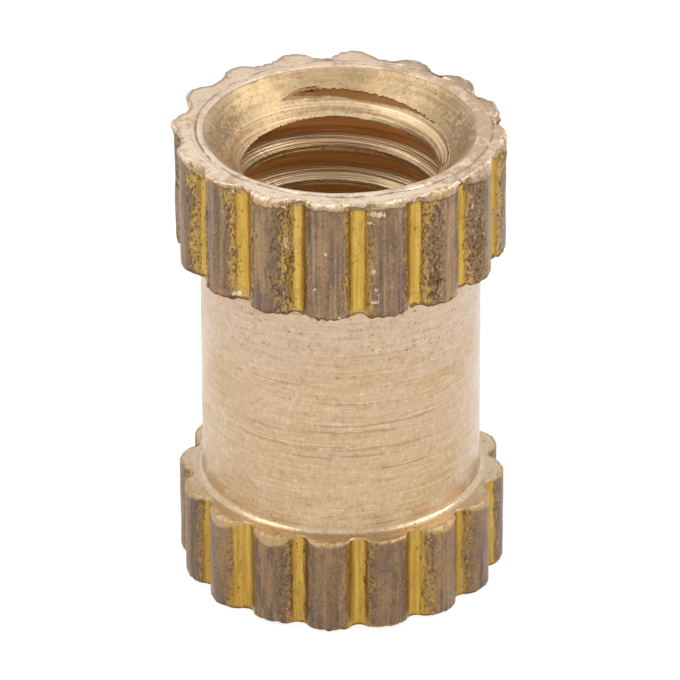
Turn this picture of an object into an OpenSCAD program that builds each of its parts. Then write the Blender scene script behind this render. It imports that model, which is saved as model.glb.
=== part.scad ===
// Brass threaded insert for plastic: two knurled bands with a plain turned neck between
// them, and a through bore with a countersink at each end.
// Millimetres. The origin is on the axis, on the lower end face, with +Z up the bore.

/* [Body] */
// Length from end face to end face
length = 10; // [8:0.5:16]
// Diameter over the tips of the knurl teeth
knurl_d = 6.8; // [6.6:0.1:7.6]
// Diameter of the plain neck
neck_d = 5.8; // [5.5:0.05:6]
// Radius of the fillet that the turning tool leaves at each end of the neck
neck_fillet_r = 0.14; // [0.05:0.01:0.2]

/* [Knurled bands] */
// Height of the upper band
upper_band_h = 2.64; // [1.6:0.02:3.4]
// Height of the lower band
lower_band_h = 2.1; // [1.6:0.02:3]
// Number of teeth round each band
tooth_count = 16; // [12:1:20]
// Depth of the grooves between the teeth
groove_depth = 0.28; // [0.2:0.01:0.32]
// Radius of the rounded teeth
tooth_r = 0.62; // [0.5:0.02:0.7]
// Radius of the rounded groove floors
groove_floor_r = 0.22; // [0.12:0.01:0.26]

/* [End bevels] */
// Bevel round the upper end, measured across the end face
upper_bevel_w = 0.08; // [0.04:0.01:0.2]
// Bevel round the upper end, measured down the teeth
upper_bevel_h = 0.1; // [0.04:0.01:0.3]
// Bevel round the lower end, measured across the end face
lower_bevel_w = 0.08; // [0.04:0.01:0.2]
// Bevel round the lower end, measured up the teeth
lower_bevel_h = 0.08; // [0.04:0.01:0.3]

/* [Bore] */
// Bore at the crests of the internal thread, M5 coarse
bore_d = 4.14; // [4:0.02:4.4]
// Diameter of each countersink at its end face
countersink_d = 5.68; // [4.8:0.02:5.8]
// Full angle of the countersinks
countersink_angle = 90; // [80:5:120]

/* [Hidden] */
$fn = 96;
knurl_r = knurl_d / 2;
groove_r = knurl_r - groove_depth;
neck_r = neck_d / 2;
neck_low = lower_band_h;
neck_high = length - upper_band_h;
bore_r = bore_d / 2;
countersink_r = countersink_d / 2;
countersink_depth = (countersink_r - bore_r) / tan(countersink_angle / 2);
tooth_pitch = 360 / tooth_count;
// How far cutting shapes run past the faces that they cut
over = 1;

// Places children once for each tooth, turned by a share of the pitch; 0 lies at the front, -Y.
module round_the_knurl(share) {
    for (i = [0 : tooth_count - 1]) rotate((i + share) * tooth_pitch - 90) children();
}

// Cross-section of both bands: rounded teeth on a core, parted by rounded grooves.
module knurl_section() {
    difference() {
        union() {
            circle(groove_r);
            round_the_knurl(0.5) translate([knurl_r - tooth_r, 0]) circle(tooth_r);
        }
        round_the_knurl(0) translate([groove_r + groove_floor_r, 0]) circle(groove_floor_r);
    }
}

// Half-section of the two bands with the bevels at the ends of the insert.
module band_half_section() {
    polygon([
        [0, 0], [knurl_r - lower_bevel_w, 0], [knurl_r, lower_bevel_h],
        [knurl_r, neck_low], [0, neck_low]
    ]);
    polygon([
        [0, neck_high], [knurl_r, neck_high], [knurl_r, length - upper_bevel_h],
        [knurl_r - upper_bevel_w, length], [0, length]
    ]);
}

// Half-section of the neck, running a little way out at both ends in a round fillet.
module neck_half_section() {
    difference() {
        translate([0, neck_low]) square([neck_r + neck_fillet_r, neck_high - neck_low]);
        translate([neck_r, neck_low + neck_fillet_r])
            square([neck_fillet_r + over, neck_high - neck_low - 2 * neck_fillet_r]);
        for (z = [neck_low + neck_fillet_r, neck_high - neck_fillet_r])
            translate([neck_r + neck_fillet_r, z]) circle(neck_fillet_r);
    }
}

// One countersink, drawn below an end face at z = 0 and opening upwards.
module countersink() {
    slope = countersink_r - bore_r;
    past = over * slope / countersink_depth;
    translate([0, 0, -countersink_depth])
        cylinder(h = countersink_depth + over, r1 = bore_r, r2 = countersink_r + past);
}

module insert() {
    color("darkkhaki") difference() {
        union() {
            intersection() {
                linear_extrude(length) knurl_section();
                rotate_extrude() band_half_section();
            }
            rotate_extrude() neck_half_section();
        }
        translate([0, 0, -over]) cylinder(h = length + 2 * over, r = bore_r);
        translate([0, 0, length]) countersink();
        mirror([0, 0, 1]) countersink();
    }
}

insert();
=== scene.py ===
"""Looks of a brass threaded insert: two knurled bands, a turned neck, countersinks and a thread.

Sizes in the classes are in millimetres, in the frame of the CAD model: the origin is on the axis
at the lower end face, and +Z runs up the bore. A turn is an angle about the axis, counted from
the front (-Y) and counter-clockwise as seen from above.
"""

from __future__ import annotations

import logging
import math
from dataclasses import dataclass, field
from enum import IntEnum
from typing import Any, Sequence

import bpy
import numpy as np
from mathutils import Matrix, Vector

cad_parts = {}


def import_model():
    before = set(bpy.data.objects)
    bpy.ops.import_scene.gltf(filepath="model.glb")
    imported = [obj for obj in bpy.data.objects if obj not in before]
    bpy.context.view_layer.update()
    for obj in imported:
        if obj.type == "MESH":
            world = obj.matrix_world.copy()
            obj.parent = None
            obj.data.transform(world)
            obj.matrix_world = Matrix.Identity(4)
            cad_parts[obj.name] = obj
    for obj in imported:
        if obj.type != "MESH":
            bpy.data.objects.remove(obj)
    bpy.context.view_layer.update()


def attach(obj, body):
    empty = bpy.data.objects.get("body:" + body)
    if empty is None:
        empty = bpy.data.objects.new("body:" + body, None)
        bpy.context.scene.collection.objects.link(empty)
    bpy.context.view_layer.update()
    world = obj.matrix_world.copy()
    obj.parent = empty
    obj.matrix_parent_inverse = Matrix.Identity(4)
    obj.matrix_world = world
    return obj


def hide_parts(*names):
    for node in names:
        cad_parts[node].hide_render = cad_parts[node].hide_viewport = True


LOG = logging.getLogger("insert")
MM = 0.001
Colour = tuple[float, float, float, float]


def paint(red: int, green: int, blue: int) -> Colour:
    """Turns a colour as a paint chart gives it, 0 to 255, into linear light.

    Args:
        red, green, blue: the display values.
    Returns:
        The colour for a shader's socket.
    """
    parts = [c / 255 for c in (red, green, blue)]
    line = [c / 12.92 if c <= 0.04045 else ((c + 0.055) / 1.055) ** 2.4 for c in parts]
    return (*line, 1.0)


def smooth(low: float, high: float, value: np.ndarray) -> np.ndarray:
    """Eases from 0 at low to 1 at high: 3s^2 - 2s^3 of the share s of the way between them."""
    share = np.clip((value - low) / (high - low), 0, 1)
    return share * share * (3 - 2 * share)


@dataclass(frozen=True)
class Sizes:
    """The sizes that shapes and finishes share, in millimetres; crest_turn is in degrees.

    The upper band ends at the shoulder below, and edge_drop under the end plane above. The lower
    band's top is the shelf. The thread's crest_h is the height of the middle of its top crest at
    crest_turn. The circle of the sunk line on the end faces lies line_off to the right and to the
    back of the axis.
    """

    length: float = 10.0
    shoulder: float = 7.358
    shelf: float = 2.095
    edge_drop: float = 0.015
    neck_r: float = 2.9
    tip_r: float = 3.4
    floor_r: float = 3.12
    rim_r: float = 2.84
    crest_r: float = 2.06
    root_r: float = 2.5
    pitch: float = 0.8
    crest_h: float = 9.28
    crest_turn: float = 174.0
    line_r: float = 3.045
    line_off: tuple[float, float] = (0.09, 0.045)


SIZE = Sizes()


# --------------------------------------------------------------------------- mesh helpers


class Zone(IntEnum):
    """The finishes on the insert, in the order of its material slots."""

    TURNED = 0
    KNURL = 1
    END_FACE = 2
    BORE = 3


@dataclass(frozen=True)
class Grain:
    """Unevenness made of seeded cosine waves that close round the axis.

    Each wave is cos(n turn + q height + shift), with a whole number n of waves round the axis.
    """

    seed: int
    around: tuple[int, int]
    up: tuple[float, float]
    waves: int = 36

    def at(self, turn: np.ndarray, height: np.ndarray) -> np.ndarray:
        """Works out the unevenness.

        Args:
            turn: angles in radians.
            height: heights in millimetres.
        Returns:
            The sum of the waves, scaled so that its usual size is 1.
        """
        rng = np.random.default_rng(self.seed)
        count = rng.integers(*self.around, self.waves) * rng.choice((-1, 1), self.waves)
        rise = rng.uniform(*self.up, self.waves) * math.tau
        shift = rng.uniform(0, math.tau, self.waves)
        turn, height = np.broadcast_arrays(turn, height)
        phase = turn[..., None] * count + height[..., None] * rise + shift
        return np.cos(phase).sum(-1) * math.sqrt(2 / self.waves)


@dataclass(frozen=True)
class Knock:
    """A dent, or where deep is below 0 a raised burr; wide and tall are half its size."""

    turn: float
    height: float
    wide: float
    tall: float
    deep: float = 0.0

    def at(self, turn: np.ndarray, height: np.ndarray, radius: float) -> np.ndarray:
        """Depth of the knock: a bell, deep exp(-(across/wide)^2 - (up/tall)^2).

        Args:
            turn: angles in radians.
            height: heights in millimetres.
            radius: the wall's radius.
        Returns:
            The depths.
        """
        off = (turn - math.radians(self.turn) + math.pi) % math.tau - math.pi
        return self.deep * np.exp(
            -((off * radius / self.wide) ** 2) - ((height - self.height) / self.tall) ** 2
        )


def knocks(*rows: Sequence[float]) -> tuple[Knock, ...]:
    """Makes a knock of each row: its turn, height, half its width and height, and its depth."""
    return tuple(Knock(*row) for row in rows)


@dataclass(frozen=True)
class Cut:
    """One groove of a band: how wide its bright floor and its torn sides are, and its filled top.

    The two numbers of a pair are for the side of the smaller and of the larger turn.
    """

    bright: tuple[float, float] = (0.16, 0.16)
    torn: tuple[float, float] = (0.42, 0.42)
    fill_r: float = 3.16
    lip: float = 0.2


@dataclass(frozen=True)
class Tooth:
    """One tooth of a band: its own height, how worn its edges are, and the lip over its top."""

    tip: float = 0.0
    top_wear: float = 0.04
    low_wear: float = 0.04
    flare: float = 0.0
    rise: float = 0.0
    lip: float = 0.1


@dataclass(frozen=True)
class KnurlOutline:
    """Wavy outline of both bands: rounded teeth on a core, parted by rounded grooves."""

    tip_r: float = SIZE.tip_r
    floor_r: float = SIZE.floor_r
    tooth_round: float = 0.62
    groove_round: float = 0.22
    teeth: int = 16

    @property
    def pitch(self) -> float:
        """Angle from one groove to the next, in radians."""
        return math.tau / self.teeth

    def radius(self, turn: np.ndarray) -> np.ndarray:
        """Radius of the outline, where a turn of 0 is a groove's middle.

        A tooth is the far side of a circle about a point on its middle line, and a groove the near
        side of a smaller circle: each is d cos(a) +- sqrt(r^2 - (d sin(a))^2) at the angle a from
        the line to its centre at the distance d. The outline is the lower of the two, but not
        below the core.

        Args:
            turn: angles in radians.
        Returns:
            The radii in millimetres.
        """
        off = (turn + self.pitch / 2) % self.pitch - self.pitch / 2
        to_tip = self.pitch / 2 - np.abs(off)
        hub = self.tip_r - self.tooth_round
        tooth = hub * np.cos(to_tip) + np.sqrt(
            np.maximum(self.tooth_round**2 - (hub * np.sin(to_tip)) ** 2, 0)
        )
        hollow = self.floor_r + self.groove_round
        left = self.groove_round**2 - (hollow * np.sin(off)) ** 2
        near = hollow * np.cos(off) - np.sqrt(np.maximum(left, 0))
        groove = np.where(left > 0, near, np.inf)
        return np.maximum(self.floor_r, np.minimum(tooth, groove))


class Columns:
    """The columns of the mesh: where they stand round the axis, evenly spaced along the teeth."""

    def __init__(self, outline: KnurlOutline, per_tooth: int, leans: Sequence[float]):
        """Spaces the columns.

        Args:
            outline: the outline of the knurl.
            per_tooth: the number of columns from one groove to the next.
            leans: how far each groove stands off its even place, in degrees.
        """
        samples = 4001
        fine = np.linspace(0, outline.pitch, samples)
        r = outline.radius(fine)
        x, y = r * np.sin(fine), -r * np.cos(fine)
        walk = np.concatenate([[0], np.cumsum(np.hypot(np.diff(x), np.diff(y)))])
        stops = np.arange(per_tooth) / per_tooth * walk[-1]
        one = np.interp(stops, walk, fine)
        teeth = np.arange(outline.teeth)
        self.outline = outline
        self.count = per_tooth * outline.teeth
        self.even = (teeth[:, None] * outline.pitch + one).ravel()
        self.tooth = np.repeat(teeth, per_tooth)
        right = stops <= walk[-1] / 2
        self.across = np.tile(np.where(right, stops, stops - walk[-1]), outline.teeth)
        self.way = np.abs(self.across)
        self.groove = (self.tooth + np.tile(~right, outline.teeth)) % outline.teeth
        self.crest = smooth(0, walk[-1] / 2, self.way)
        lean = np.radians([*leans, leans[0]])
        edges = np.arange(outline.teeth + 1) * outline.pitch
        self.turn = self.even + np.interp(self.even, edges, lean)

    def of_teeth(self, values: Sequence[float]) -> np.ndarray:
        """Gives every column its own tooth's value, starting with the tooth right of the front."""
        return np.asarray(values, float)[self.tooth]

    def of_sides(self, pairs: Sequence[tuple[float, float]]) -> np.ndarray:
        """Gives every column the value of its own side of the nearest groove."""
        return np.asarray(pairs, float)[self.groove, (self.across > 0).astype(int)]

    def around(self, values: Sequence[float]) -> np.ndarray:
        """Runs evenly from each groove's value to the next one's."""
        edges = np.arange(self.outline.teeth + 1) * self.outline.pitch
        return np.interp(self.even, edges, [*values, values[0]])

    def mixed(self, cuts: Sequence[float], teeth: Sequence[float]) -> np.ndarray:
        """Eases from the nearest groove's value at its middle to the tooth's at its crest."""
        low = np.asarray(cuts, float)[self.groove]
        return low + (self.of_teeth(teeth) - low) * self.crest


@dataclass
class Strip:
    """Rings of points that follow each other along the surface, one row each."""

    radius: np.ndarray
    turn: np.ndarray
    height: np.ndarray
    zone: Zone
    cuts: np.ndarray | tuple[float, float, float] = (-1.0, -1.0, 0.0)

    def rings(self) -> tuple[np.ndarray, np.ndarray]:
        """Places the rings: x = r sin(turn), y = -r cos(turn), z = height.

        Returns:
            Points of shape (rows, columns, 3) in millimetres, and their marks, of the same
            shape: how far inside a bright floor and a torn side they are, and the lip's depth.
        """
        r, t, z = np.broadcast_arrays(self.radius, self.turn, self.height)
        points = np.stack([r * np.sin(t), -r * np.cos(t), z], -1)
        return points, np.broadcast_to(self.cuts, points.shape)

    def flipped(self) -> "Strip":
        """The same rings, the last one first."""
        cuts = self.cuts if isinstance(self.cuts, tuple) else self.cuts[::-1]
        return Strip(self.radius[::-1], self.turn, self.height[::-1], self.zone, cuts)


class Skin:
    """Gathers strips, joins each ring to the next and makes one closed mesh of them."""

    sharp_degrees = 42.0

    def __init__(self) -> None:
        """Starts with no points."""
        self.points: list[np.ndarray] = []
        self.marks: list[np.ndarray] = []
        self.faces: list[np.ndarray] = []
        self.zones: list[np.ndarray] = []
        self.total = 0
        self.last: np.ndarray | None = None

    def _put(self, points: np.ndarray, marks: np.ndarray) -> np.ndarray:
        """Stores points and returns their numbers.

        Args:
            points: their places, in rows and columns.
            marks: their marks.
        Returns:
            The numbers, in the same rows and columns.
        """
        flat = points.reshape(-1, 3)
        numbers = np.arange(self.total, self.total + len(flat))
        self.points.append(flat)
        self.marks.append(marks.reshape(-1, 3))
        self.total += len(flat)
        return numbers.reshape(points.shape[:-1])

    def _cover(self, faces: np.ndarray, zone: Zone) -> None:
        """Stores faces, as rows of three or four point numbers, with their finish."""
        self.faces.append(faces)
        self.zones.append(np.full(len(faces), int(zone)))

    def join(self, a: np.ndarray, b: np.ndarray, zone: Zone) -> None:
        """Covers the gap between two rings, of which one may have half the columns.

        Args:
            a: point numbers of the first ring along the path.
            b: point numbers of the next ring.
            zone: the finish of the faces.
        """
        a2, b2 = np.roll(a, -1), np.roll(b, -1)
        if len(a) == len(b):
            corners = [(a, b, b2, a2)]
        elif len(a) > len(b):
            low, mid, high = a[0::2], a[1::2], a2[1::2]
            corners = [(low, b, mid), (mid, b, b2), (mid, b2, high)]
        else:
            low, mid, high = b[0::2], b[1::2], b2[1::2]
            corners = [(a, low, mid), (a, mid, a2), (a2, mid, high)]
        for face in corners:
            self._cover(np.stack(face, -1), zone)

    def add(self, strip: Strip) -> tuple[np.ndarray, np.ndarray]:
        """Adds a strip after the last one.

        Args:
            strip: its rings, in the order of the path.
        Returns:
            The point numbers of its first and its last ring.
        """
        points, marks = strip.rings()
        numbers = self._put(points, marks)
        if self.last is not None:
            self.join(self.last, numbers[0], strip.zone)
        for a, b in zip(numbers[:-1], numbers[1:]):
            self.join(a, b, strip.zone)
        self.last = numbers[-1]
        return numbers[0], numbers[-1]

    def wind(self, below: np.ndarray, above: np.ndarray, wound: "WoundGrid") -> None:
        """Joins two rings of the bore with a grid whose rows climb round the axis.

        Rows that would pass a ring are laid on it, so faces there shrink to triangles or vanish.

        Args:
            below: point numbers of the lower ring.
            above: point numbers of the upper ring.
            wound: the grid.
        """
        inside = ~(wound.too_low | wound.too_high)
        numbers = np.zeros(inside.shape, int)
        numbers[inside] = self._put(wound.points[inside], wound.marks[inside])
        column = np.broadcast_to(np.arange(numbers.shape[1]), numbers.shape)
        numbers = np.where(wound.too_low, below[column], numbers)
        numbers = np.where(wound.too_high, above[column], numbers)
        spare = np.full(wound.per_turn, above[0])
        seam = np.concatenate([numbers[wound.per_turn :, 0], spare])[:, None]
        grid = np.concatenate([numbers, seam], 1)
        corners = [grid[:-1, :-1], grid[1:, :-1], grid[1:, 1:], grid[:-1, 1:]]
        quads = np.stack(corners, -1).reshape(-1, 4)
        same = quads == np.roll(quads, 1, 1)
        lost = same.sum(1)
        self._cover(quads[lost == 0], Zone.BORE)
        bent = lost == 1
        self._cover(quads[bent][~same[bent]].reshape(-1, 3), Zone.BORE)

    def build(self, name: str) -> bpy.types.Object:
        """Makes the mesh, in metres, with the marks of its points as an attribute.

        Args:
            name: the name of the object.
        Returns:
            The object, linked to the scene.
        """
        mesh = bpy.data.meshes.new(name)
        faces = [row for block in self.faces for row in block.tolist()]
        mesh.from_pydata(np.concatenate(self.points) * MM, [], faces)
        mesh.polygons.foreach_set("material_index", np.concatenate(self.zones).astype(np.int32))
        mesh.polygons.foreach_set("use_smooth", np.ones(len(faces), bool))
        marks = mesh.attributes.new("cuts", "FLOAT_VECTOR", "POINT")
        marks.data.foreach_set("vector", np.concatenate(self.marks).astype(np.float32).ravel())
        mesh.set_sharp_from_angle(angle=math.radians(self.sharp_degrees))
        mesh.validate()
        mesh.update()
        body = bpy.data.objects.new(name, mesh)
        bpy.context.scene.collection.objects.link(body)
        return body


@dataclass
class WoundGrid:
    """A grid whose rows climb one pitch for each turn, and which of its points pass a ring."""

    points: np.ndarray
    marks: np.ndarray
    too_low: np.ndarray
    too_high: np.ndarray
    per_turn: int


# --------------------------------------------------------------------------- sub-assemblies


def rounding(depth: np.ndarray, size: np.ndarray) -> np.ndarray:
    """How far a rounded edge lies in: size - sqrt(size^2 - (size - depth)^2), 0 past its end."""
    left = np.clip(size - depth, 0, None)
    return size - np.sqrt(np.maximum(size**2 - left**2, 0))


@dataclass
class KnurledBand:
    """One knurled band: its wall, with worn edges, torn groove sides, dents and burrs.

    Its numbers are depths and heights in millimetres, but for the seed and the sharpness, which
    says how abruptly the filled part of a groove meets its sides.
    """

    top: float
    bottom: float
    rows: tuple[float, ...]
    teeth: tuple[Tooth, ...]
    cuts: tuple[Cut, ...]
    seed: int
    filled: bool
    tear: float = 0.016
    low_burr: float = 0.03
    low_burr_h: float = 0.07
    rise_h: float = 0.1
    flare_h: float = 0.16
    fill_h: float = 0.26
    fill_sharpness: float = 70.0
    sunk: float = 0.08
    lump: float = 0.006
    ripple: float = 0.0045
    crest_grain: float = 0.0025
    edge: float = 0.02
    least_edge: float = 0.012
    knocks: tuple[Knock, ...] = ()

    def _fill(self, radius: np.ndarray, down: np.ndarray, columns: Columns) -> np.ndarray:
        """Fills the tops of the grooves: a and b merge as log(exp(k a) + exp(k b)) / k.

        Args:
            radius: the wall's radius without the filling.
            down: depth below the top edge, a little ragged.
            columns: the columns of the mesh.
        Returns:
            The radius with the filling, which sinks below the groove's floor at fill_h.
        """
        sink = smooth(0.1, 1, down / self.fill_h)
        filling = columns.around([c.fill_r for c in self.cuts]) * (1 - sink)
        filling = filling + (columns.outline.floor_r - self.sunk) * sink
        k = self.fill_sharpness
        return np.logaddexp(radius * k, filling * k) / k

    def _grain(self, turn: np.ndarray, height: np.ndarray, crest: Any, sides: Any) -> np.ndarray:
        """Relief of the metal: a ripple all over, and torn grain on the grooves' sides.

        Args:
            turn: angles in radians.
            height: heights in millimetres.
            crest: 1 on the crests of the teeth and 0 in the grooves.
            sides: 1 on the grooves' torn sides and 0 elsewhere.
        Returns:
            What the relief adds to the radius.
        """
        coarse = Grain(self.seed, (6, 60), (0.1, 1.2)).at(turn, height)
        fine = Grain(self.seed + 1, (60, 300), (1.0, 6.0), 60).at(turn, height)
        spots = smooth(-0.2, 1.2, Grain(self.seed + 2, (8, 50), (0.2, 1.5)).at(turn, height))
        torn = self.tear * fine * sides * (0.35 + spots)
        return self.ripple * coarse + torn + self.crest_grain * fine * crest

    def wall(self, columns: Columns) -> Strip:
        """Makes the wall from the top edge to the lower one.

        The radius is the outline, plus each tooth's own height towards its crest, plus torn grain
        on the sides of the grooves, less the rounding of both edges and the knocks. Just below
        the top a fill radius stands in for the groove's floor and sinks away.

        Args:
            columns: the columns of the mesh.
        Returns:
            The strip of the wall.
        """
        height = self.top + (self.bottom - self.top) * np.asarray(self.rows)[:, None]
        down, up = self.top - height, height - self.bottom
        turn, crest = columns.turn, columns.crest
        shine = columns.of_sides([c.bright for c in self.cuts]) - columns.way
        torn = columns.of_sides([c.torn for c in self.cuts]) - columns.way
        lip = columns.mixed([c.lip for c in self.cuts], [t.lip for t in self.teeth])
        ragged = Grain(self.seed + 3, (20, 150), (0, 0.3)).at(turn, 0 * height)
        lumps = Grain(self.seed + 4, (12, 70), (0.5, 3)).at(turn, height)
        height = height - self.low_burr * (0.6 + 0.7 * ragged) * np.exp(-up / self.low_burr_h)
        rise = (0.45 + 0.55 * crest) * columns.around([t.rise for t in self.teeth])
        height = height + rise * np.exp(-down / self.rise_h)
        radius = columns.outline.radius(columns.even)
        radius = radius + crest * columns.of_teeth([t.tip for t in self.teeth])
        if self.filled:
            radius = self._fill(radius, down + 0.03 * ragged, columns)
            radius = radius + self.lump * lumps * smooth(1.3, 0.5, down / lip)
        sides = smooth(0.03, 0.09, -shine) * smooth(-0.06, 0.06, torn)
        radius = radius + self._grain(turn, height, crest, sides)
        flare = columns.of_teeth([t.flare for t in self.teeth])
        radius = radius + crest * flare * np.exp(-((down / self.flare_h) ** 2))
        top_edge = self.edge + crest * columns.of_teeth([t.top_wear for t in self.teeth])
        low_edge = self.edge + crest * columns.of_teeth([t.low_wear for t in self.teeth])
        for depth, size, share in ((down, top_edge, 0.25), (up, low_edge, 0.2)):
            size = np.maximum(size * (1 + share * ragged), self.least_edge)
            radius = radius - rounding(depth, size)
        for knock in self.knocks:
            radius = radius - knock.at(turn, height, columns.outline.tip_r)
        marks = np.broadcast_arrays(shine, torn, lip, radius)[:3]
        return Strip(radius, turn, height, Zone.KNURL, np.stack(marks, -1))


@dataclass
class Neck:
    """The plain turned neck, with the fillets and flat steps that lead to the bands."""

    top: float = SIZE.shoulder
    bottom: float = SIZE.shelf
    radius: float = SIZE.neck_r
    fillet: float = 0.14
    rows: int = 14
    ripple: float = 0.0022
    sag: float = 0.006

    def under(self, columns: Columns, wall_r: np.ndarray, wall_z: np.ndarray) -> Strip:
        """Makes the step under the upper band, from the wall's last ring in to the fillet.

        Args:
            columns: the columns of the mesh.
            wall_r: radius of the wall's nearest ring.
            wall_z: its height.
        Returns:
            The strip, from the wall inwards.
        """
        share = np.array([0.12, 0.5, 0.9])[:, None]
        radius = wall_r + (self.radius + self.fillet - wall_r) * share
        height = wall_z + (self.top - wall_z) * smooth(0, 0.3, share)
        return Strip(radius, columns.turn, height, Zone.TURNED)

    def shaft(self, columns: Columns) -> Strip:
        """Makes both fillets and the neck: quarter circles in section, with a faint ripple.

        Args:
            columns: the columns of the mesh.
        Returns:
            The strip, from the top down.
        """
        quarter = np.linspace(0, math.pi / 2, 6)
        arc_r = self.radius + self.fillet * (1 - np.sin(quarter))
        arc_z = self.top - self.fillet * (1 - np.cos(quarter))
        low_z = self.bottom + self.fillet * (1 - np.cos(quarter))
        plain = np.linspace(self.top - self.fillet, self.bottom + self.fillet, self.rows + 2)
        radius = np.concatenate([arc_r, np.full(self.rows, self.radius), arc_r[::-1]])
        height = np.concatenate([arc_z, plain[1:-1], low_z[::-1]])
        ripple = Grain(71, (0, 4), (0.1, 0.9), 18).at(columns.turn[::2], height[:, None])
        radius = radius[:, None] + self.ripple * ripple
        return Strip(radius, columns.turn[::2], height[:, None], Zone.TURNED)

    def shelf(self, columns: Columns, wall_r: np.ndarray, wall_z: np.ndarray) -> Strip:
        """Makes the step on top of the lower band, from the fillet out to the wall's first ring.

        Args:
            columns: the columns of the mesh.
            wall_r: radius of the wall's nearest ring.
            wall_z: its height.
        Returns:
            The strip, from the fillet outwards.
        """
        share = np.array([0.06, 0.3, 0.6, 0.88, 0.97])[:, None]
        start = self.radius + self.fillet
        radius = start + (wall_r - start) * share
        sag = self.sag * Grain(72, (3, 40), (0, 0.2)).at(columns.turn, radius)
        height = self.bottom + (wall_z - self.bottom) * smooth(0.5, 1, share) + sag * share
        return Strip(radius, columns.turn, height, Zone.TURNED)


@dataclass
class EndFace:
    """The flat ring at one end, from the countersink's rim to the band's edge."""

    height: float
    facing: int
    rim_gap: float = 0.006
    rim_drop: float = 0.03
    rim_wide: float = 0.022
    line_drop: float = 0.022
    line_wide: float = 0.024
    line_gap: float = 0.034
    wall_gap: float = 0.03
    outer_step: float = 0.012
    unevenness: float = 0.002

    def line(self, turn: np.ndarray) -> np.ndarray:
        """Radius of the sunk line, whose circle runs a little off the axis: r + a sin - b cos."""
        right, back = SIZE.line_off
        return SIZE.line_r + right * np.sin(turn) - back * np.cos(turn)

    def inner(self, columns: Columns) -> Strip:
        """Makes the rounded rim, the plain ring round it and the sunk line.

        The drop below the end plane is a bell about the line and a rounding at the rim.

        Args:
            columns: the columns of the mesh.
        Returns:
            The strip, from the rim outwards.
        """
        turn = columns.turn[::2]
        line = self.line(turn)
        share = np.array([0.0, 0.1, 0.3, 0.58, 0.8, 0.92, 1.0, 1.1])[:, None]
        start = SIZE.rim_r + self.rim_gap
        radius = start + (line - start) * share
        wear_and_shade = Grain(31 + self.facing, (2, 26), (0, 0.2)).at(turn, 0 * radius)
        drop = self.rim_drop * np.exp(-((radius - SIZE.rim_r) / self.rim_wide) ** 1.4)
        groove = self.line_drop * np.clip(0.75 + 0.45 * wear_and_shade, 0.05, 1.4)
        drop = drop + groove * np.exp(-(((radius - line) / self.line_wide) ** 2))
        drop = drop + self.outer_step * smooth(0.8, 1.1, share)
        drop = drop + self.unevenness * (1 + np.clip(wear_and_shade, -1, 1))
        return Strip(radius, turn, self.height - self.facing * drop, Zone.END_FACE, (1, 0, 0))

    def outer(self, columns: Columns, wall_r: np.ndarray, wall_z: np.ndarray) -> Strip:
        """Makes the ring from the sunk line out to the wall, a little wavy.

        The first mark of a point is how far it lies inside the wall.

        Args:
            columns: the columns of the mesh.
            wall_r: radius of the wall's nearest ring.
            wall_z: its height.
        Returns:
            The strip, from the inside outwards.
        """
        turn = columns.turn
        start = np.minimum(self.line(turn) + self.line_gap, wall_r - self.wall_gap)
        share = np.array([0.05, 0.3, 0.6, 0.85, 0.96])[:, None]
        radius = start + (wall_r - start) * share
        waves = Grain(41 + self.facing, (4, 60), (0, 0.4)).at(turn, radius)
        drop = self.outer_step + self.unevenness * (1 + 2 * waves)
        plain = self.height - self.facing * drop
        height = plain + (wall_z - plain) * smooth(0.7, 1, share)
        marks = np.stack([wall_r - radius, 0 * radius, 0 * radius], -1)
        return Strip(radius, turn, height, Zone.END_FACE, marks)


@dataclass(frozen=True)
class Smear:
    """The edge of metal smeared over a groove: heights above the top crest, at turns in degrees."""

    turns: tuple[float, ...]
    levels: tuple[float, ...]
    seed: int
    ragged: float
    fade: float = 10.0
    row_gap: float = 0.012

    def level(self, turn: np.ndarray) -> np.ndarray:
        """Height of the edge above the middle of the top crest, a little ragged."""
        ragged = Grain(self.seed, (20, 190), (0, 0.1)).at(turn, 0 * turn)
        return np.interp(np.degrees(turn), self.turns, self.levels) + self.ragged * ragged

    def share(self, turn: np.ndarray) -> np.ndarray:
        """1 along the smear and 0 past its ends.

        Args:
            turn: angles in radians.
        Returns:
            The shares.
        """
        degrees = np.degrees(turn)
        first, last = self.turns[0], self.turns[-1]
        return smooth(first, first + self.fade, degrees) * smooth(last, last - self.fade, degrees)

    def hug(self, climb: np.ndarray, index: np.ndarray, pair: int, turn: np.ndarray) -> np.ndarray:
        """Lays a row on each side of the edge, and keeps the rows below and above clear of it.

        Args:
            climb: heights of the rows above the middle of the top crest.
            index: the rows' numbers, counted upwards.
            pair: the number of the row that goes below the edge.
            turn: the columns' angles in radians.
        Returns:
            The new heights.
        """
        rows_off = index - pair - 0.5
        clear = self.level(turn) + self.row_gap * rows_off
        kept = np.where(rows_off < 0, np.minimum(climb, clear), np.maximum(climb, clear))
        kept = np.where(np.abs(rows_off) < 1, clear, kept)
        return climb + (kept - climb) * self.share(turn)


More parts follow.
